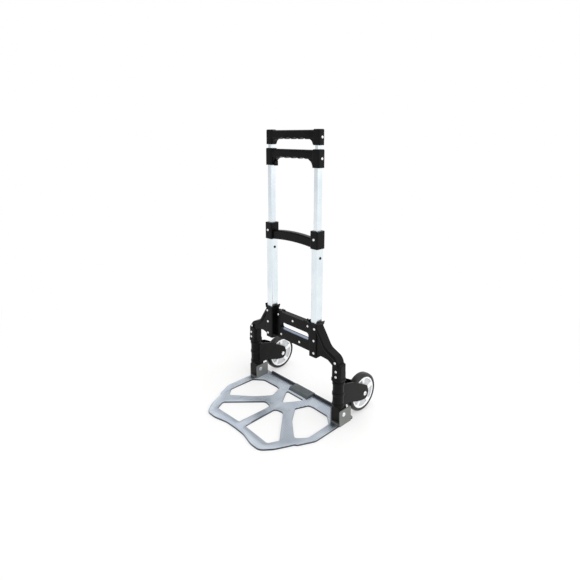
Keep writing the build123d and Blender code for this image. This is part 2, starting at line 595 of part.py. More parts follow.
def lower_grip():
    """Grip of the middle stage: the inner tubes pass through it, and a catch hangs by its left socket."""
    body = grip(LOWER_GRIP_BOTTOM, LOWER_GRIP_HEIGHT, MID_W, MID_D, TUBE_CORNER, LOWER_GUSSET)
    for side in SIDES.values():
        z = (MID_TOP - 1, LOWER_GRIP_TOP + 1)
        body -= rounded_bar(INNER_W + 2 * GAP, INNER_D + 2 * GAP, 2.5, z, side * HALF_PITCH)
    edge, low = -HALF_PITCH + GRIP_HALF_W, LOWER_GRIP_BOTTOM
    body += block((edge + 1, edge + 10), (TUBE_Y - 5, TUBE_Y + 5), (low - 1.5, low + 12))
    body -= block((edge, edge + 2.5), (TUBE_Y - GRIP_DEPTH, TUBE_Y + GRIP_DEPTH), (low - 2, low + 7))
    return body - screw_holes(lower_screw_planes(), 2.0)


def top_grip():
    body = grip(TOP_GRIP_BOTTOM, TOP_GRIP_HEIGHT, INNER_W, INNER_D, INNER_CORNER, TOP_GUSSET)
    return body - screw_holes(top_screw_planes(), 2.0)


def lower_screw_planes():
    z = LOWER_GRIP_BOTTOM + LOWER_GRIP_HEIGHT / 2
    return [on_side(side * (HALF_PITCH + GRIP_HALF_W), TUBE_Y, z, side) for side in SIDES.values()]


def top_screw_planes():
    z = TOP_GRIP_BOTTOM + TOP_GRIP_HEIGHT / 2
    return [on_side(side * (HALF_PITCH + GRIP_HALF_W), TUBE_Y, z, side) for side in SIDES.values()]


# ------------------------------------------------------------------ forks and wheels

def fork():
    """Right fork: a sleeve that swivels on the shaft and two arms that hold the axle."""
    low, high = SLEEVE_BOTTOM + 2, SLEEVE_TOP - 12
    arm = [(COLUMN_Y, low, 2), (COLUMN_Y, high, 2), (COLUMN_Y + 20, high, 20), (COLUMN_Y + 52, high - 9, 30),
           (WHEEL_Y + 12, WHEEL_R + 21, 16), (WHEEL_Y + 18, WHEEL_R, 16), (WHEEL_Y + 10, WHEEL_R - 20, 14),
           (WHEEL_Y - 20, WHEEL_R - 16, 20), (COLUMN_Y + 34, low, 14)]
    face = side_face(arm, 0)
    body = upright(COLUMN_X, COLUMN_Y, (SLEEVE_BOTTOM, SLEEVE_TOP), COLUMN_R)
    body = chamfer(body.edges().group_by(Axis.Z)[0] + body.edges().group_by(Axis.Z)[-1], 1.2)
    for z in (SLEEVE_BOTTOM + 2, SLEEVE_BOTTOM + 0.45 * SLEEVE_HEIGHT, SLEEVE_TOP - 11):
        ring = upright(COLUMN_X, COLUMN_Y, (z, z + 9), COLUMN_R + 1.5)
        body += fillet(ring.edges().filter_by(GeomType.CIRCLE), 1.4)
    body += along_x(face, WHEEL_X - ARM_OUT, WHEEL_X - ARM_IN)
    body += along_x(face, WHEEL_X + ARM_IN, WHEEL_X + ARM_OUT)
    body += block((WHEEL_X - ARM_IN - 1, WHEEL_X + ARM_IN + 1), (COLUMN_Y, COLUMN_Y + 20), (low, high - 1))
    body -= upright(COLUMN_X, COLUMN_Y, (SLEEVE_BOTTOM - 1, SLEEVE_TOP + 1), BUSH_R + SEAT)
    return body - crosswise((WHEEL_X - ARM_OUT - 9, WHEEL_X + ARM_OUT + 9), WHEEL_Y, WHEEL_R, AXLE_R + SEAT)


def fork_bushes():
    """Nylon bushes at both ends of the sleeve."""
    bushes = []
    for z in ((SLEEVE_BOTTOM, SLEEVE_BOTTOM + BUSH_LEN), (SLEEVE_TOP - BUSH_LEN, SLEEVE_TOP)):
        bushes.append(upright(COLUMN_X, COLUMN_Y, z, BUSH_R) - upright(COLUMN_X, COLUMN_Y, z, SHAFT_R + RUN))
    return bushes


def axle_bolt():
    """Right axle bolt: a low domed head on the outer arm, a shank through the wheel."""
    shank = crosswise((WHEEL_X - ARM_OUT - 4, WHEEL_X + ARM_OUT), WHEEL_Y, WHEEL_R, AXLE_R)
    head = crosswise((WHEEL_X + ARM_OUT, WHEEL_X + ARM_OUT + 3), WHEEL_Y, WHEEL_R, AXLE_R + 2.5)
    head = fillet(head.edges().sort_by(Axis.X)[-1], 2.2)
    socket = on_side(WHEEL_X + ARM_OUT + 1.2, WHEEL_Y, WHEEL_R) * RegularPolygon(2.6, 6)
    return shank + head - along_x(socket, 0, 3)


def axle_nut():
    nut = along_x(on_side(WHEEL_X - ARM_OUT - 3.6, WHEEL_Y, WHEEL_R) * RegularPolygon(AXLE_R + 2.8, 6), 0, 3.6)
    return nut - crosswise((WHEEL_X - ARM_OUT - 5, WHEEL_X - ARM_OUT + 1), WHEEL_Y, WHEEL_R, AXLE_R + SEAT)


def axle_spacers():
    """Two sleeves that keep the bearings clear of the arms."""
    spacers = []
    for way in (-1, 1):
        x = sorted((WHEEL_X + way * (HUB_HALF + RUN), WHEEL_X + way * (ARM_IN - SEAT)))
        bore = crosswise(x, WHEEL_Y, WHEEL_R, AXLE_R + SEAT)
        spacers.append(crosswise(x, WHEEL_Y, WHEEL_R, AXLE_R + 2.5) - bore)
    return spacers


def turned(profile):
    """A wheel part turned about the axle from (x, radius, corner) points."""
    section = Pos(WHEEL_X, WHEEL_Y, WHEEL_R) * outline(profile)
    return revolve(section, Axis((WHEEL_X, WHEEL_Y, WHEEL_R), (1, 0, 0)))


def tyre():
    half = TYRE_W / 2
    inside = WHEEL_R - TYRE_T
    return turned([(-half, inside, 0.5), (-half, WHEEL_R - 4, 2), (-half + 5, WHEEL_R, 6),
                   (half - 5, WHEEL_R, 6),
                   (half, WHEEL_R - 4, 2), (half, inside, 0.5)])


def wheel_hub():
    """Moulded hub: a rim, a thin disc, a bearing boss and five broad spokes on each face."""
    rim = WHEEL_R - TYRE_T - SEAT
    half = HUB_HALF
    body = turned([(-half, rim - 5, 1), (-half, rim, 0.5), (half, rim, 0.5), (half, rim - 5, 1)])
    body += turned([(-3, BEARING_R + 1, 0.2), (-3, rim - 4, 0.2), (3, rim - 4, 0.2), (3, BEARING_R + 1, 0.2)])
    body += turned([(-half, BEARING_R + SEAT, 0.3), (-half, BEARING_R + 5, 1), (half, BEARING_R + 5, 1),
                    (half, BEARING_R + SEAT, 0.3)])
    length = rim - BEARING_R - 6
    for i in range(5):
        spoke = Pos(0, 0, BEARING_R + 4 + length / 2) * Box(2 * half - 2.4, 9, length)
        body += Pos(WHEEL_X, WHEEL_Y, WHEEL_R) * Rot(i * 72, 0, 0) * spoke
    middle = half - BEARING_W
    body += turned([(-middle, AXLE_R + 2, 0.2), (-middle, BEARING_R + 1, 0.2), (middle, BEARING_R + 1, 0.2),
                    (middle, AXLE_R + 2, 0.2)])
    return body


def wheel_bearings():
    """Two ball bearings, each shown as one solid ring."""
    half = HUB_HALF
    rings = []
    for way in (-1, 1):
        x = sorted((WHEEL_X + way * half, WHEEL_X + way * (half - BEARING_W + SEAT)))
        rings.append(crosswise(x, WHEEL_Y, WHEEL_R, BEARING_R) - crosswise(x, WHEEL_Y, WHEEL_R, AXLE_R + RUN))
    return rings


# ------------------------------------------------------------------ write one STEP per node

def nodes():
    """Every node as name -> solid or list of solids."""
    parts = {
        "toe_plate": toe_plate(), "rear_edge_strip": rear_edge_strip(), "stand_foot": stand_foot(),
        "bracket_rivets": bracket_rivets(), "cross_member_front": cross_member_front(),
        "cross_member_rear": cross_member_rear(), "cross_bar": cross_bar(),
        "cross_member_screws": cross_member_screws(), "leg_screws": leg_screws(), "mid_brace": mid_brace(),
        "brace_screws": brace_screws(), "outer_guides": outer_guides(), "mid_feet": mid_feet(),
        "mid_guides": mid_guides(), "inner_feet": inner_feet(), "lower_grip": lower_grip(),
        "lower_grip_screws": [screw(p, 2.0) for p in lower_screw_planes()], "top_grip": top_grip(),
        "top_grip_screws": [screw(p, 2.0) for p in top_screw_planes()],
    }
    paired = {
        "plate_bracket": plate_bracket, "hinge_pin": hinge_pin, "leg": leg, "pivot_shaft": pivot_shaft,
        "hinge_block": hinge_block, "fork": fork, "fork_bushes": fork_bushes, "axle_bolt": axle_bolt,
        "axle_nut": axle_nut, "axle_spacers": axle_spacers, "tyre": tyre, "wheel_hub": wheel_hub,
        "wheel_bearings": wheel_bearings,
    }
    for name, make in paired.items():
        right = make()
        parts[name + "_right"] = right
        parts[name + "_left"] = [flip(s) for s in right] if isinstance(right, list) else flip(right)
    for name, side in SIDES.items():
        parts["outer_tube_" + name] = outer_tube(side)
        parts["mid_tube_" + name] = mid_tube(side)
        parts["inner_tube_" + name] = inner_tube(side)
        parts["snap_button_" + name] = snap_button(side)
    return parts


MIDDLE_Y = (WHEEL_Y + WHEEL_R + plate_outline().bounding_box().min.Y) / 2


def write(name, shape):
    """Shift a node to the ground origin and write it."""
    pieces = shape if isinstance(shape, list) else [shape]
    solids = [s for piece in pieces for s in piece.solids()]
    moved = [Pos(0, -MIDDLE_Y, 0) * s for s in solids]
    export_step(Compound(moved) if len(moved) > 1 else moved[0], f"parts/{name}.step")


os.makedirs("parts", exist_ok=True)
for node_name, node_shape in nodes().items():
    write(node_name, node_shape)
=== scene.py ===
"""Finishes, moulded detail and studio for a folding hand truck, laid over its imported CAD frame."""

import math

import bpy
import numpy as np
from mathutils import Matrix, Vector


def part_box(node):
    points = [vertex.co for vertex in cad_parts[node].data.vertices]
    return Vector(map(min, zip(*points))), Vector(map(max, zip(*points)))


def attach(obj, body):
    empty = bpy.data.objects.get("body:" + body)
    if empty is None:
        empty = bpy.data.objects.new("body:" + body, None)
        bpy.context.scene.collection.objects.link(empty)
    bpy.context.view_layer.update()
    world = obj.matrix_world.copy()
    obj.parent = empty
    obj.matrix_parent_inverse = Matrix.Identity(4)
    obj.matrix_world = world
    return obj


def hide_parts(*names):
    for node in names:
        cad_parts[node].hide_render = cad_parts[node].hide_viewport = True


bl_info = {
    "name": "Folding Hand Truck",
    "version": (1, 0, 0),
    "blender": (4, 5, 0),
    "location": "View3D > Sidebar > Hand Truck",
    "description": "Finishes and moulded detail of a folding hand truck",
    "category": "Object",
}

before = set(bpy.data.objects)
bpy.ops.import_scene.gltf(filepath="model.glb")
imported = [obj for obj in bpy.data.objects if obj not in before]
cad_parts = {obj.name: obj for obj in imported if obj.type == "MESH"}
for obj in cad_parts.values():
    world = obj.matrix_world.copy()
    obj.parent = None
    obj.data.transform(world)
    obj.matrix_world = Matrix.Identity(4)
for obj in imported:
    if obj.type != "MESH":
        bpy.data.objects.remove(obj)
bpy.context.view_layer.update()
SIDES = ("left", "right")
RING_STEPS = 240    # points round a turned ring
WELD_WITHIN = 1e-6    # metres


# ------------------------------------------------------------------ meshes


def mesh_object(name, points, faces, smooth=True):
    """An object at the origin from an (n, 3) array of points in metres and an (m, 4) array of corners."""
    mesh = bpy.data.meshes.new(name)
    mesh.vertices.add(len(points))
    mesh.vertices.foreach_set("co", np.asarray(points, np.float32).ravel())
    mesh.loops.add(faces.size)
    mesh.loops.foreach_set("vertex_index", faces.astype(np.int32).ravel())
    mesh.polygons.add(len(faces))
    mesh.polygons.foreach_set("loop_start", np.arange(0, faces.size, faces.shape[1], dtype=np.int32))
    mesh.polygons.foreach_set("use_smooth", np.full(len(faces), smooth))
    mesh.update(calc_edges=True)
    mesh.validate()
    piece = bpy.data.objects.new(name, mesh)
    bpy.context.scene.collection.objects.link(piece)
    return piece


def grid_faces(rows, columns, close_rows=False, close_columns=False):
    """Corners of the quads of a rows x columns grid of points, joined round where an axis is closed."""
    i = np.arange(rows if close_rows else rows - 1)[:, None]
    j = np.arange(columns if close_columns else columns - 1)[None, :]
    ni, nj = (i + 1) % rows, (j + 1) % columns
    corners = (i * columns + j, ni * columns + j, ni * columns + nj, i * columns + nj)
    return np.stack([c.ravel() for c in np.broadcast_arrays(*corners)], axis=1)


def smoothstep(low, high, x):
    """0 below low, 1 above high, and the cubic 3t^2 - 2t^3 between them."""
    t = np.clip((x - low) / (high - low), 0, 1)
    return t * t * (3 - 2 * t)


def face_outwards(points, faces):
    """Turns every face of a closed grid over if its signed volume is negative.

    The volume is, but for a factor, the sum of a.(b x c) over the grid's triangles.
    """
    a, b, c, d = (points[faces[:, k]] for k in range(4))
    first, second = (np.einsum("ij,ij->i", a, cross).sum() for cross in (np.cross(b, c), np.cross(c, d)))
    volume = first + second
    return faces if volume > 0 else faces[:, ::-1]


def turned(name, centre, section, depth=None):
    """A ring turned about the X axis through centre.

    The section is a closed loop of (across, radius) pairs in metres. The point at angle t is
    centre + (across, radius sin t, radius cos t). depth(t, across, radius), if given, returns the
    across and radius to use in their place.
    """
    t = np.linspace(0, 2 * np.pi, RING_STEPS, endpoint=False)[:, None]
    across = np.broadcast_to(section[:, 0], (RING_STEPS, len(section)))
    radius = np.broadcast_to(section[:, 1], (RING_STEPS, len(section)))
    if depth is not None:
        across, radius = depth(t, across, radius)
    points = np.stack([across, radius * np.sin(t), radius * np.cos(t)], axis=-1).reshape(-1, 3)
    faces = grid_faces(RING_STEPS, len(section), True, True)
    return mesh_object(name, points + np.array(centre), face_outwards(points, faces))


def loft(sections):
    """Points and faces of a closed strip through a (rows, columns, 3) array of loops.

    Each end is capped by a loop that has shrunk to the end loop's middle.
    """
    middles = (sections[:1].mean(axis=1, keepdims=True), sections[-1:].mean(axis=1, keepdims=True))
    ends = [np.broadcast_to(middle, sections[:1].shape) for middle in middles]
    rows = np.concatenate([ends[0], sections, ends[1]])
    points = rows.reshape(-1, 3)
    return points, grid_faces(len(rows), rows.shape[1], False, True)


def gather(name, parts):
    """One object from several (points, faces) pairs."""
    offsets = np.cumsum([0] + [len(p) for p, _ in parts[:-1]])
    points = np.concatenate([p for p, _ in parts])
    faces = np.concatenate([face_outwards(p, f) + o for (p, f), o in zip(parts, offsets)])
    piece = mesh_object(name, points, faces)
    weld = piece.modifiers.new("Weld", "WELD")
    weld.merge_threshold = WELD_WITHIN
    return piece


def put(piece, body, slot, material, *stands_for):
    """Rides a finished piece on its body and gives it its finish."""
    piece.data.materials.clear()
    piece.data.materials.append(material)
    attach(piece, body)
    if stands_for:
        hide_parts(*stands_for)


def dress(names, material):
    """Gives CAD nodes a material."""
    for name in names:
        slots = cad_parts[name].material_slots
        if slots:
            for slot in slots:
                slot.material = material
        else:
            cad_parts[name].data.materials.append(material)


# ------------------------------------------------------------------ materials


def linear(hex_colour):
    """Linear RGBA from an sRGB hex value."""
    value = hex_colour.lstrip("#")
    srgb = np.array([int(value[i:i + 2], 16) for i in (0, 2, 4)]) / 255
    rgb = np.where(srgb <= 0.04045, srgb / 12.92, ((srgb + 0.055) / 1.055) ** 2.4)
    return (*[float(c) for c in rgb], 1.0)


def node(tree, kind, links=(), **settings):
    """Adds a node.

    settings are its properties or, where it has no such property, the values of its inputs.
    links are pairs of a socket to come from and the name or number of an input.
    """
    made = tree.nodes.new(kind)
    for key, value in settings.items():
        if hasattr(made, key):
            setattr(made, key, value)
        else:
            made.inputs[key.replace("_", " ").title()].default_value = value
    for source, target in links:
        tree.links.new(source, made.inputs[target])
    return made


def finish(name, **shader):
    """A new material with its Principled shader's own sockets set.

    Returns the material, its tree, its shader and its object coordinates.
    """
    material = bpy.data.materials.new(name)
    material.use_nodes = True
    tree = material.node_tree
    surface = tree.nodes["Principled BSDF"]
    for key, value in shader.items():
        surface.inputs[key.replace("_", " ")].default_value = value
    place = node(tree, "ShaderNodeTexCoord").outputs["Object"]
    return material, tree, surface, place


def roughen(tree, surface, factor, low, high):
    """Roughness that runs from low to high as factor goes from 0 to 1."""
    span = node(tree, "ShaderNodeMapRange", [(factor, 0)], to_min=low, to_max=high)
    tree.links.new(span.outputs[0], surface.inputs["Roughness"])


def tint(tree, surface, factor, dark, light):
    """Base colour that runs between two hex colours as factor goes from 0.3 to 0.7."""
    ramp = node(tree, "ShaderNodeValToRGB", [(factor, 0)])
    ramp.color_ramp.elements[0].position, ramp.color_ramp.elements[1].position = 0.3, 0.7
    ramp.color_ramp.elements[0].color, ramp.color_ramp.elements[1].color = linear(dark), linear(light)
    tree.links.new(ramp.outputs[0], surface.inputs["Base Color"])


def emboss(tree, surface, height, strength, distance):
    """Bump from a height between 0 and 1, distance in metres."""
    bump = node(tree, "ShaderNodeBump", [(height, "Height")], strength=strength, distance=distance)
    tree.links.new(bump.outputs[0], surface.inputs["Normal"])


def drawn_aluminium(name, dark, light, rough, streak):
    """Clear anodised extrusion.

    Die lines run along streak, so gloss stretches across them and the grey is never even.
    """
    material, tree, surface, place = finish(name, Metallic=1.0)
    scale = [900.0 if axis != streak else 6.0 for axis in "XYZ"]    # die lines about 1.1 mm apart
    lines = node(tree, "ShaderNodeMapping", [(place, "Vector")], scale=scale)
    grain = node(tree, "ShaderNodeTexNoise", [(lines.outputs[0], "Vector")], scale=1.0, detail=3.0)
    cloud = node(tree, "ShaderNodeTexNoise", [(place, "Vector")], scale=14.0, detail=2.0)
    tint(tree, surface, cloud.outputs[0], dark, light)
    roughen(tree, surface, grain.outputs[0], rough - 0.06, rough + 0.08)
    emboss(tree, surface, grain.outputs[0], 0.25, 0.00005)
    return material


def shear_skin_and_painted_shade(material, dark):
    """Darkens faces that stand upright: partly the shear's dull, dark skin on the plate's cut edges, partly
    painted shade along the edges of the plate's windows.

    Upright is judged in the room and not in the plate, so this is right only while the plate lies
    flat. With the plate folded up its broad faces are darkened too.
    """
    tree = material.node_tree
    surface = tree.nodes["Principled BSDF"]
    face = node(tree, "ShaderNodeNewGeometry").outputs["True Normal"]
    up = node(tree, "ShaderNodeSeparateXYZ", [(face, 0)]).outputs["Z"]
    level = node(tree, "ShaderNodeMath", [(up, 0)], operation="ABSOLUTE").outputs[0]
    was = surface.inputs["Base Color"].links[0].from_socket
    mix = node(tree, "ShaderNodeMixRGB", [(level, "Fac"), (was, "Color2")])
    mix.inputs["Color1"].default_value = linear(dark)
    tree.links.new(mix.outputs[0], surface.inputs["Base Color"])


def moulded_nylon(name, dark, light, rough, grain_mm=0.9):
    """Glass-filled nylon from an etched mould: black, a fine leathery grain, soft broad highlights."""
    material, tree, surface, place = finish(name, IOR=1.53)
    surface.inputs["Specular IOR Level"].default_value = 0.12
    # the real etch is about 0.3 mm; it is drawn coarser so that it shows
    grain = node(tree, "ShaderNodeTexVoronoi", [(place, "Vector")],
                 scale=1000.0 / grain_mm, feature="SMOOTH_F1")
    cloud = node(tree, "ShaderNodeTexNoise", [(place, "Vector")], scale=30.0, detail=4.0, roughness=0.6)
    tint(tree, surface, cloud.outputs[0], dark, light)
    roughen(tree, surface, cloud.outputs[0], rough - 0.08, rough + 0.08)
    emboss(tree, surface, grain.outputs[0], 0.35, 0.00006)
    return material


def powder_coat(name, dark, light, rough):
    """Polyester powder coat on pressed steel: an even grey with the faint orange peel of a baked powder."""
    material, tree, surface, place = finish(name, IOR=1.5)
    surface.inputs["Coat Weight"].default_value = 0.25
    surface.inputs["Coat Roughness"].default_value = 0.25
    # lumps of about 2 mm
    peel = node(tree, "ShaderNodeTexNoise", [(place, "Vector")], scale=520.0, detail=2.0)
    cloud = node(tree, "ShaderNodeTexNoise", [(place, "Vector")], scale=25.0, detail=4.0)
    tint(tree, surface, cloud.outputs[0], dark, light)
    roughen(tree, surface, peel.outputs[0], rough - 0.05, rough + 0.1)
    emboss(tree, surface, peel.outputs[0], 0.3, 0.0001)
    return material


def plated_steel(name, dark, light, rough):
    """Bright zinc or ground steel: a clean metal with faint polishing marks in every direction."""
    material, tree, surface, place = finish(name, Metallic=1.0)
    # marks of about 1.5 mm, drawn coarser than real ones so that they show
    marks = node(tree, "ShaderNodeTexNoise", [(place, "Vector")], scale=700.0, detail=3.0)
    tint(tree, surface, marks.outputs[0], dark, light)
    roughen(tree, surface, marks.outputs[0], rough - 0.06, rough + 0.1)
    return material


def cast_polyurethane(name, dark, light, rough):
    """Cast polyurethane tread: near black, smooth from the mould, with dust in a few scuffs."""
    material, tree, surface, place = finish(name, IOR=1.5)
    surface.inputs["Specular IOR Level"].default_value = 0.4
    scuff = node(tree, "ShaderNodeTexNoise", [(place, "Vector")], scale=90.0, detail=6.0, roughness=0.7)
    # pores of about 1 mm, drawn coarser than real ones so that they show
    grain = node(tree, "ShaderNodeTexNoise", [(place, "Vector")], scale=1100.0, detail=1.0)
    tint(tree, surface, scuff.outputs[0], dark, light)
    roughen(tree, surface, scuff.outputs[0], rough - 0.08, rough + 0.14)
    emboss(tree, surface, grain.outputs[0], 0.25, 0.00008)
    return material


def silvered_abs(name, pocket_shade, face, rough):
    """Silver-lacquered ABS with painted shade: bright on the raised faces of the relief, painted greyer down
    in its pockets.
    """
    material, tree, surface, place = finish(name, IOR=1.5, Metallic=0.25)
    surface.inputs["Coat Weight"].default_value = 0.5
    surface.inputs["Coat Roughness"].default_value = 0.15
    relief = node(tree, "ShaderNodeAttribute", attribute_name="relief", attribute_type="GEOMETRY")
    # flakes of about 0.7 mm, drawn coarser than real ones so that they show
    flake = node(tree, "ShaderNodeTexNoise", [(place, "Vector")], scale=1500.0, detail=1.0)
    # painted shade: the relief's depth colours the pockets grey
    tint(tree, surface, relief.outputs["Fac"], pocket_shade, face)
    roughen(tree, surface, flake.outputs[0], rough - 0.05, rough + 0.08)
    return material


# ------------------------------------------------------------------ settings


def colour(name, hex_colour, description):
    """A colour property whose default is an sRGB hex value."""
    return bpy.props.StringProperty(name=name, default=hex_colour, description=description)


class FinishSettings(bpy.types.PropertyGroup):
    """Colours of the finishes"""

    tube: colour("Tubes", "#DCE6EC", "Anodised aluminium of the tubes and the cross bar, as sRGB hex")
    plate: colour("Toe plate", "#94A0AE", "Anodised aluminium of the toe plate, as sRGB hex")
    moulding: colour("Mouldings", "#040404", "Black nylon mouldings, as sRGB hex")
    bracket: colour("Brackets", "#6F716F", "Powder coat of the brackets, as sRGB hex")
    foot: colour("Foot pad", "#676D70", "Foot pad, as sRGB hex")
    hub: colour("Hubs", "#F2F3F4", "Raised faces of the wheel hubs, as sRGB hex")


class DetailSettings(bpy.types.PropertyGroup):
    """Sizes of the moulded and extruded detail"""

    rib_pitch: bpy.props.FloatProperty(
        name="Rib pitch", default=0.005, min=0.002, unit="LENGTH",
        description="Distance between the plate's ribs")
    rib_height: bpy.props.FloatProperty(
        name="Rib height", default=0.0008, min=0.0, unit="LENGTH", description="Height of the plate's ribs")
    spokes: bpy.props.IntProperty(name="Spokes", default=5, min=3, description="Spokes of each wheel hub")
    pocket: bpy.props.FloatProperty(
        name="Hub pocket", default=0.0034, unit="LENGTH",
        description="Depth of the pockets between the spokes")
    bead: bpy.props.FloatProperty(
        name="Parting bead", default=0.0009, unit="LENGTH",
        description="Width of the moulding line on the grips")


class StudioSettings(bpy.types.PropertyGroup):
    """Floor and light"""

    floor: colour("Floor", "#FDFDFC", "Floor, as sRGB hex")
    key_power: bpy.props.FloatProperty(
        name="Key light", default=16.0, unit="POWER", description="Power of the large light on the right")
    sky: bpy.props.FloatProperty(
        name="Bright wall", default=1.3, min=0.0, description="Brightness of the room's right and rear walls")
    shade: bpy.props.FloatProperty(
        name="Grey wall", default=0.55, min=0.0, description="Brightness of the room's left and front walls")


# ------------------------------------------------------------------ pieces


def plate_ribs(settings):
    """Extruded ribs along Y on the toe plate's upper face.

    Each rib lies over one straight line x = constant. It runs wherever that line is inside the
    plate: the crossings of the line with the upper face's boundary, sorted, pair off into
    stretches. A rib is a low arch of width 0.45 pitch, and its height falls to a tenth over its
    last 1.5 mm. The ribs are drawn a little coarser and taller than real ones so that they show.
    """
    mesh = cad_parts["toe_plate"].data
    mesh.calc_loop_triangles()
    co = np.zeros(len(mesh.vertices) * 3)
    mesh.vertices.foreach_get("co", co)
    co = co.reshape(-1, 3)
    tris = np.zeros(len(mesh.loop_triangles) * 3, int)
    mesh.loop_triangles.foreach_get("vertices", tris)
    tris = tris.reshape(-1, 3)
    top = co[:, 2].max()
    keys, ids = np.unique(np.round(co * 1e6).astype(int), axis=0, return_inverse=True)
    ids = ids.reshape(-1)
    upper = ids[tris[(co[tris][:, :, 2] > top - 1e-5).all(axis=1)]]
    edges = np.sort(np.concatenate([upper[:, [0, 1]], upper[:, [1, 2]], upper[:, [2, 0]]]), axis=1)
    edges, count = np.unique(edges, axis=0, return_counts=True)
    ends = keys[edges[count == 1]][:, :, :2] / 1e6
    x0, y0, x1, y1 = ends[:, 0, 0], ends[:, 0, 1], ends[:, 1, 0], ends[:, 1, 1]
    half = co[:, 0].max()
    inset, run_out, shortest, sunk = 0.0012, 0.0015, 0.008, 0.0001
    width = 0.45 * settings.rib_pitch
    arch = np.linspace(0, np.pi, 5)
    parts = []
    for x in np.arange(-half + 0.003, half - 0.002, settings.rib_pitch):
        crossing = (x0 <= x) != (x1 <= x)
        t = (x - x0[crossing]) / (x1[crossing] - x0[crossing])
        stops = np.sort(y0[crossing] + t * (y1[crossing] - y0[crossing]))
        for start, end in stops[:len(stops) // 2 * 2].reshape(-1, 2):
            if end - start < shortest:
                continue
            y = np.array([start + inset, start + inset + run_out, end - inset - run_out, end - inset])
            rise = np.array([0.1, 1, 1, 0.1])[:, None] * settings.rib_height
            loop = np.stack(np.broadcast_arrays(
                x + width / 2 * np.cos(arch), y[:, None], top - sunk + rise * np.sin(arch)), axis=-1)
            parts.append(loft(loop))
    return gather("plate_ribs", parts)


def hub_relief(side, settings):
    """Both faces of a wheel hub in one closed ring.

    The section runs from the bearing seat out to the tyre seat on one face and back on the other.
    Between the boss and the rim the face sinks by the pocket depth, except on the spokes: their
    half width grows from 3.6 mm at the boss to 6.2 mm at the rim, a smoothstep 1.6 mm wide makes
    their flanks, and a shallow groove runs down each spoke's middle. A fine ring stands in the
    pockets half way out, and it and the groove are bell-shaped in section.
    """
    low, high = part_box(f"wheel_hub_{side}")
    centre = (low + high) / 2
    outer = (high.z - low.z) / 2
    half = (high.x - low.x) / 2
    inner = 0.01102    # the bearing's seat
    boss, rim = inner + 0.0052, outer - 0.0045
    flank, edge, corner = 0.0008, 0.0016, 0.0012
    radii = np.concatenate([np.linspace(inner, boss, 8), np.linspace(boss, rim, 34)[1:],
                            np.linspace(rim, outer, 9)[1:]])
    faces = ((1.0, radii), (-1.0, radii[::-1]))
    loop = np.concatenate([np.stack([np.full_like(radii, way), r], 1) for way, r in faces])
    relief = []

    def sink(t, across, radius):
        step = 2 * np.pi / settings.spokes
        off = (t + step / 2) % step - step / 2
        beside = np.abs(off) * radius
        width = 0.0036 + 0.0026 * (radius - boss) / (rim - boss)
        spoke = 1 - smoothstep(width - flank, width + flank, beside)
        band = smoothstep(boss, boss + edge, radius) * (1 - smoothstep(rim - edge, rim, radius))
        ring_line = 0.0006 * np.exp(-((radius - (boss + rim) / 2) / 0.0009) ** 2)
        groove = 0.0007 * np.exp(-(beside / 0.0012) ** 2) * band * spoke
        drop = settings.pocket * band * (1 - spoke) - ring_line * band * (1 - spoke) + groove
        lip = (0.0010 * smoothstep(outer - corner, outer, radius)
               + 0.0008 * (1 - smoothstep(inner, inner + 0.0010, radius)))
        rise = (0.0009 * smoothstep(boss - corner, boss, radius)
                * (1 - smoothstep(boss, boss + corner, radius)))
        relief.append(1 - np.clip(drop / settings.pocket, 0, 1))
        return across * (half - drop - lip - rise * 0.5), np.broadcast_to(radius, drop.shape)

    piece = turned(f"hub_relief_{side}", centre, loop, sink)
    # the depth stored here paints shade into the hub's pockets
    values = piece.data.attributes.new("relief", "FLOAT", "POINT")
    values.data.foreach_set("value", relief[0].astype(np.float32).ravel())
    return piece


def tyre_tread(side):
    """A tyre's section is a superellipse of power 3.2, closed inside by the hub's seat.

    Two fine moulding rings stand 0.35 mm proud on each flank, and the crown carries the mould's
    parting line.
    """
    low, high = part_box(f"tyre_{side}")
    centre = (low + high) / 2
    outer, half = (high.z - low.z) / 2, (high.x - low.x) / 2
    seat = outer - 0.0100
    t = np.linspace(-0.04 * np.pi, 1.04 * np.pi, 81)
    power = 2 / 3.2
    across = np.sign(np.cos(t)) * np.abs(np.cos(t)) ** power
    rise = np.sign(np.sin(t)) * np.abs(np.sin(t)) ** power
    radius = seat + 0.0022 + (outer - 0.00025 - seat - 0.0022) * rise
    radius = np.maximum(radius, seat)
    rings = sum(np.exp(-((radius - r) / 0.0004) ** 2) for r in (seat + 0.0038, seat + 0.0056))
    across = across * (half - 0.0004) + np.sign(across) * 0.00035 * rings
    radius = radius + 0.0002 * np.exp(-(across / 0.0005) ** 2)
    return turned(f"tread_{side}", centre, np.stack([across, radius], 1))


def parting_bead(name, node_name, z, settings):
    """The mould's parting line on a grip's bar: a bead along X on its front face and its rear face.

    It runs at height z between the sockets. Its section is an ellipse as tall as the bead and half
    as deep, with its middle on the face of the bar.
    """
    low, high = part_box(node_name)
    socket = (high.x - low.x) / 2 - 0.0262
    bead = settings.bead
    depth = 0.0100    # half the bar's
    middle = (low.y + high.y) / 2
    arch = np.linspace(0, 2 * np.pi, 8, endpoint=False)
    parts = []
    for way in (-1, 1):
        x = np.linspace(-socket, socket, 9)
        y = middle + way * (depth + 0.25 * bead * np.cos(arch))
        points = np.stack(np.broadcast_arrays(x[:, None], y[None, :], z + bead / 2 * np.sin(arch)), axis=-1)
        parts.append(loft(points))
    return gather(name, parts)


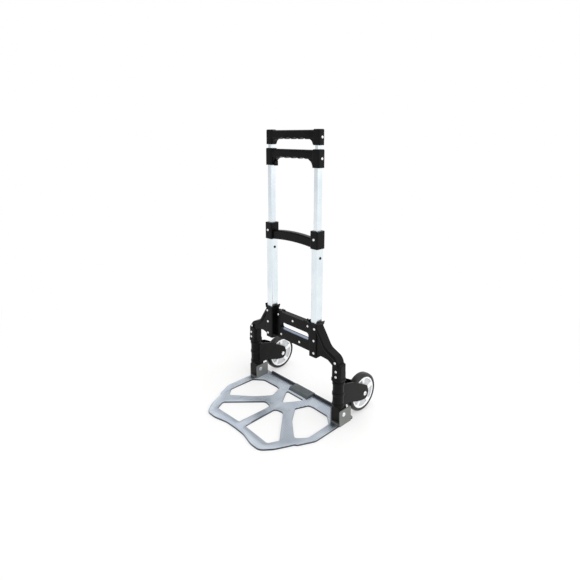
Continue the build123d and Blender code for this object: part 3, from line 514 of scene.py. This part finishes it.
def foot_ridges():
    """Non-slip ridges along X on the pad of the plate's rear edge, 2 mm wide and 5 mm apart.

    Each is an ellipse in section, with its middle 0.2 mm below the pad's top, and it tapers at its ends.
    """
    low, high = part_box("stand_foot")
    arch = np.linspace(0, 2 * np.pi, 10, endpoint=False)
    x = np.array([low.x + 0.004, low.x + 0.006, high.x - 0.006, high.x - 0.004])
    size = np.array([0.3, 1, 1, 0.3])[:, None]
    parts = []
    for y in np.arange(low.y + 0.012, high.y - 0.006, 0.005):
        around, rise = y + 0.001 * size * np.cos(arch), high.z - 0.0002 + 0.0006 * size * np.sin(arch)
        points = np.stack(np.broadcast_arrays(x[:, None], around, rise), axis=-1)
        parts.append(loft(points))
    return gather("foot_ridges", parts)


# ------------------------------------------------------------------ operators


class HANDTRUCK_OT_tubes(bpy.types.Operator):
    """Finish the telescopic tubes and the cross bar"""

    bl_idname = "handtruck.tubes"
    bl_label = "Tubes"

    def execute(self, context):
        tube = context.scene.truck_finish.tube
        outer = drawn_aluminium("Anodised extruded tube", tube, "#EEF5F8", 0.30, "Z")
        dress([f"{stage}_tube_{side}" for stage in ("outer", "mid", "inner") for side in SIDES], outer)
        # painted shade: the bar is the tubes' anodised aluminium, coloured darker and bluer to stand for
        # shade on it
        dress(["cross_bar"], drawn_aluminium("Anodised extruded bar in painted shade", "#8796AC", "#A3B2C8", 0.34, "X"))
        guide = moulded_nylon("Turned acetal", "#141415", "#1D1D1F", 0.4)
        dress(["outer_guides", "mid_guides", "mid_feet", "inner_feet"], guide)
        dress(["fork_bushes_left", "fork_bushes_right"], guide)
        button = moulded_nylon("Moulded acetal button", "#1B1D1F", "#26292C", 0.38)
        dress(["snap_button_left", "snap_button_right"], button)
        return {"FINISHED"}


class HANDTRUCK_OT_plate(bpy.types.Operator):
    """Finish the toe plate, its ribs, brackets and foot pad"""

    bl_idname = "handtruck.plate"
    bl_label = "Toe plate"

    def execute(self, context):
        finishes, detail = context.scene.truck_finish, context.scene.truck_detail
        # painted shade: the plate is coloured darker than its ribs to stand for shade in the grooves between
        # them
        plate = drawn_aluminium("Anodised sheared plate", finishes.plate, "#A9B4C1", 0.36, "Y")
        # painted shade: the dark upright faces stand partly for shadow in the window edges and partly for the
        # shear's dark skin
        shear_skin_and_painted_shade(plate, "#3C4146")
        dress(["toe_plate"], plate)
        # painted highlight: the ribs are the plate's own aluminium, coloured lighter to stand for light on
        # their tops
        ribs = drawn_aluminium("Anodised plate ribs with painted highlight", "#DCE4EE", "#F0F4F9", 0.28, "Y")
        put(plate_ribs(detail), "toe_plate", "plate_aluminium", ribs)
        bracket = powder_coat("Grey powder-coated steel", "#636562", finishes.bracket, 0.42)
        dress(["plate_bracket_left", "plate_bracket_right"], bracket)
        # painted shade: the rail's dark colour stands for the shadowed upturned flange along the plate's rear
        # edge
        dress(["rear_edge_strip"], powder_coat("Dark rail in painted shade", "#2B2F36", "#3A4049", 0.45))
        pad = moulded_nylon("Moulded thermoplastic rubber", "#5A6063", finishes.foot, 0.62, 1.4)
        dress(["stand_foot"], pad)
        put(foot_ridges(), "toe_plate", "foot_rubber", pad)
        return {"FINISHED"}


class HANDTRUCK_OT_mouldings(bpy.types.Operator):
    """Finish the black mouldings and draw their parting lines"""

    bl_idname = "handtruck.mouldings"
    bl_label = "Mouldings"

    def execute(self, context):
        finishes, detail = context.scene.truck_finish, context.scene.truck_detail
        black = moulded_nylon("Moulded black nylon", finishes.moulding, "#0A0A0A", 0.34)
        dress(["cross_member_front", "cross_member_rear", "mid_brace"], black)
        dress([f"{part}_{side}" for part in ("leg", "hinge_block") for side in SIDES], black)
        grip = moulded_nylon("Fine-grained grip nylon", finishes.moulding, "#0E0F0F", 0.34, 0.7)
        dress(["lower_grip", "top_grip"], grip)
        dress(["fork_left", "fork_right"], moulded_nylon("Satin fork nylon", "#070706", "#100F0E", 0.30))
        for name, body in (("lower_grip", "lower_handle"), ("top_grip", "top_handle")):
            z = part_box(name)[1].z - 0.0095
            put(parting_bead(f"{name}_line", name, z, detail), body, "moulded_nylon", grip)
        return {"FINISHED"}


class HANDTRUCK_OT_hardware(bpy.types.Operator):
    """Finish the screws, rivets, pins, bolts and shafts"""

    bl_idname = "handtruck.hardware"
    bl_label = "Hardware"

    def execute(self, context):
        zinc = plated_steel("Bright zinc-plated steel", "#E3E5E8", "#F6F7F8", 0.26)
        names = ["cross_member_screws", "leg_screws", "brace_screws", "lower_grip_screws", "top_grip_screws",
                 "bracket_rivets"]
        fixings = ("hinge_pin", "axle_bolt", "axle_nut", "axle_spacers")
        names += [f"{part}_{side}" for part in fixings for side in SIDES]
        dress(names, zinc)
        ground = plated_steel("Ground steel shaft", "#8F9296", "#B5B8BC", 0.28)
        dress([f"{part}_{side}" for part in ("pivot_shaft", "wheel_bearings") for side in SIDES], ground)
        return {"FINISHED"}


class HANDTRUCK_OT_wheels(bpy.types.Operator):
    """Build the tyres and the hubs' relief"""

    bl_idname = "handtruck.wheels"
    bl_label = "Wheels"

    def execute(self, context):
        finishes, detail = context.scene.truck_finish, context.scene.truck_detail
        tread = cast_polyurethane("Cast black polyurethane", "#060606", "#101011", 0.28)
        # the first colour is painted shade in the hub's pockets
        silver = silvered_abs("Silver-lacquered ABS", "#C4C7CA", finishes.hub, 0.24)
        for side in SIDES:
            put(tyre_tread(side), f"wheel_{side}", "tyre_rubber", tread, f"tyre_{side}")
            put(hub_relief(side, detail), f"wheel_{side}", "hub_plastic", silver, f"wheel_hub_{side}")
        return {"FINISHED"}


class HANDTRUCK_OT_studio(bpy.types.Operator):
    """Set the floor, the soft lights and the camera"""

    bl_idname = "handtruck.studio"
    bl_label = "Studio"

    def execute(self, context):
        studio = context.scene.truck_studio
        scene = context.scene
        reach = 9.0
        corners = np.array([(-reach, -reach, 0), (reach, -reach, 0), (reach, reach, 0), (-reach, reach, 0)])
        floor = mesh_object("floor", corners, np.array([[0, 1, 2, 3]]), smooth=False)
        material, tree, surface, place = finish("Matt painted floor", Roughness=0.55)
        surface.inputs["Base Color"].default_value = linear(studio.floor)
        # just under half of the floor's white is its own glow near the truck, and all of it far off,
        # so that it runs into the white room
        away = node(tree, "ShaderNodeVectorMath", [(place, 0)], operation="LENGTH").outputs["Value"]
        fade = node(tree, "ShaderNodeMapRange", [(away, 0)],
                    from_min=0.3, from_max=1.5, to_min=0.45, to_max=1.0)
        white = node(tree, "ShaderNodeEmission", Color=(1, 1, 1, 1))
        mix = node(tree, "ShaderNodeMixShader",
                   [(fade.outputs[0], 0), (surface.outputs[0], 1), (white.outputs[0], 2)])
        tree.links.new(mix.outputs[0], tree.nodes["Material Output"].inputs["Surface"])
        floor.data.materials.append(material)

        world = bpy.data.worlds.new("Studio")
        scene.world = world
        world.use_nodes = True
        sky = world.node_tree
        background = sky.nodes["Background"]
        # a white room: brighter walls to the right and behind, greyer ones to the left and in front,
        # and plain white where it is seen directly
        around = node(sky, "ShaderNodeTexCoord").outputs["Generated"]
        toward = node(sky, "ShaderNodeSeparateXYZ", [(around, 0)])
        across = node(sky, "ShaderNodeMath", [(toward.outputs["X"], 0), (toward.outputs["Y"], 1)],
                      operation="ADD")
        wall = node(sky, "ShaderNodeMapRange", [(across.outputs[0], 0)],
                    from_min=-1.2, from_max=1.2, to_min=studio.shade, to_max=studio.sky)
        seen = node(sky, "ShaderNodeLightPath").outputs["Is Camera Ray"]
        level = node(sky, "ShaderNodeMix", [(seen, "Factor"), (wall.outputs[0], "A")])
        level.inputs["B"].default_value = 1.0
        sky.links.new(level.outputs[0], background.inputs["Strength"])
        background.inputs["Color"].default_value = (1, 1, 1, 1)

        # place, aim, size across, share of the key light's power
        lights = {"key": ((2.2, 0.2, 1.9), (0, 0, 0.35), 2.0, 1.0),
                  "top": ((-0.4, 0.6, 2.8), (0, 0, 0.2), 2.2, 0.6)}
        for name, (spot, aim, size, share) in lights.items():
            lamp = bpy.data.lights.new(name, "AREA")
            lamp.size, lamp.energy = size, studio.key_power * share
            holder = bpy.data.objects.new(name, lamp)
            holder.location = spot
            holder.rotation_euler = (Vector(aim) - Vector(spot)).to_track_quat("-Z", "Y").to_euler()
            scene.collection.objects.link(holder)

        eye = bpy.data.cameras.new("camera")
        eye.sensor_width, eye.lens = 36.0, 28.737
        eye.shift_x, eye.shift_y = -0.0007, -0.1
        camera = bpy.data.objects.new("camera", eye)
        camera.location = (0.9410, -0.8714, 0.8020)
        camera.rotation_euler = (math.radians(78.197), 0.0, math.radians(46.366))
        scene.collection.objects.link(camera)
        scene.camera = camera
        scene.view_settings.view_transform = "Standard"
        return {"FINISHED"}


class HANDTRUCK_PT_panel(bpy.types.Panel):
    """Sizes, colours and pieces of the hand truck"""

    bl_idname = "HANDTRUCK_PT_panel"
    bl_label = "Hand Truck"
    bl_space_type = "VIEW_3D"
    bl_region_type = "UI"
    bl_category = "Hand Truck"

    def draw(self, context):
        layout = self.layout
        for group in (context.scene.truck_finish, context.scene.truck_detail, context.scene.truck_studio):
            box = layout.box()
            for name in group.bl_rna.properties.keys():
                if name not in ("rna_type", "name"):
                    box.prop(group, name)
        for operator in OPERATORS:
            layout.operator(operator.bl_idname)


SETTINGS = {"truck_finish": FinishSettings, "truck_detail": DetailSettings, "truck_studio": StudioSettings}
OPERATORS = (HANDTRUCK_OT_tubes, HANDTRUCK_OT_plate, HANDTRUCK_OT_mouldings, HANDTRUCK_OT_hardware,
             HANDTRUCK_OT_wheels, HANDTRUCK_OT_studio)


def register():
    """Registers the settings, the operators and the panel."""
    for cls in (*SETTINGS.values(), *OPERATORS, HANDTRUCK_PT_panel):
        bpy.utils.register_class(cls)
    for name, group in SETTINGS.items():
        setattr(bpy.types.Scene, name, bpy.props.PointerProperty(type=group))


def unregister():
    """Takes them away again, in the reverse order."""
    for name in SETTINGS:
        delattr(bpy.types.Scene, name)
    for cls in (HANDTRUCK_PT_panel, *reversed(OPERATORS), *SETTINGS.values()):
        bpy.utils.unregister_class(cls)


def main():
    """Builds every piece in order."""
    register()
    bpy.ops.handtruck.tubes()
    bpy.ops.handtruck.plate()
    bpy.ops.handtruck.mouldings()
    bpy.ops.handtruck.hardware()
    bpy.ops.handtruck.wheels()
    bpy.ops.handtruck.studio()


if __name__ == "__main__":
    main()
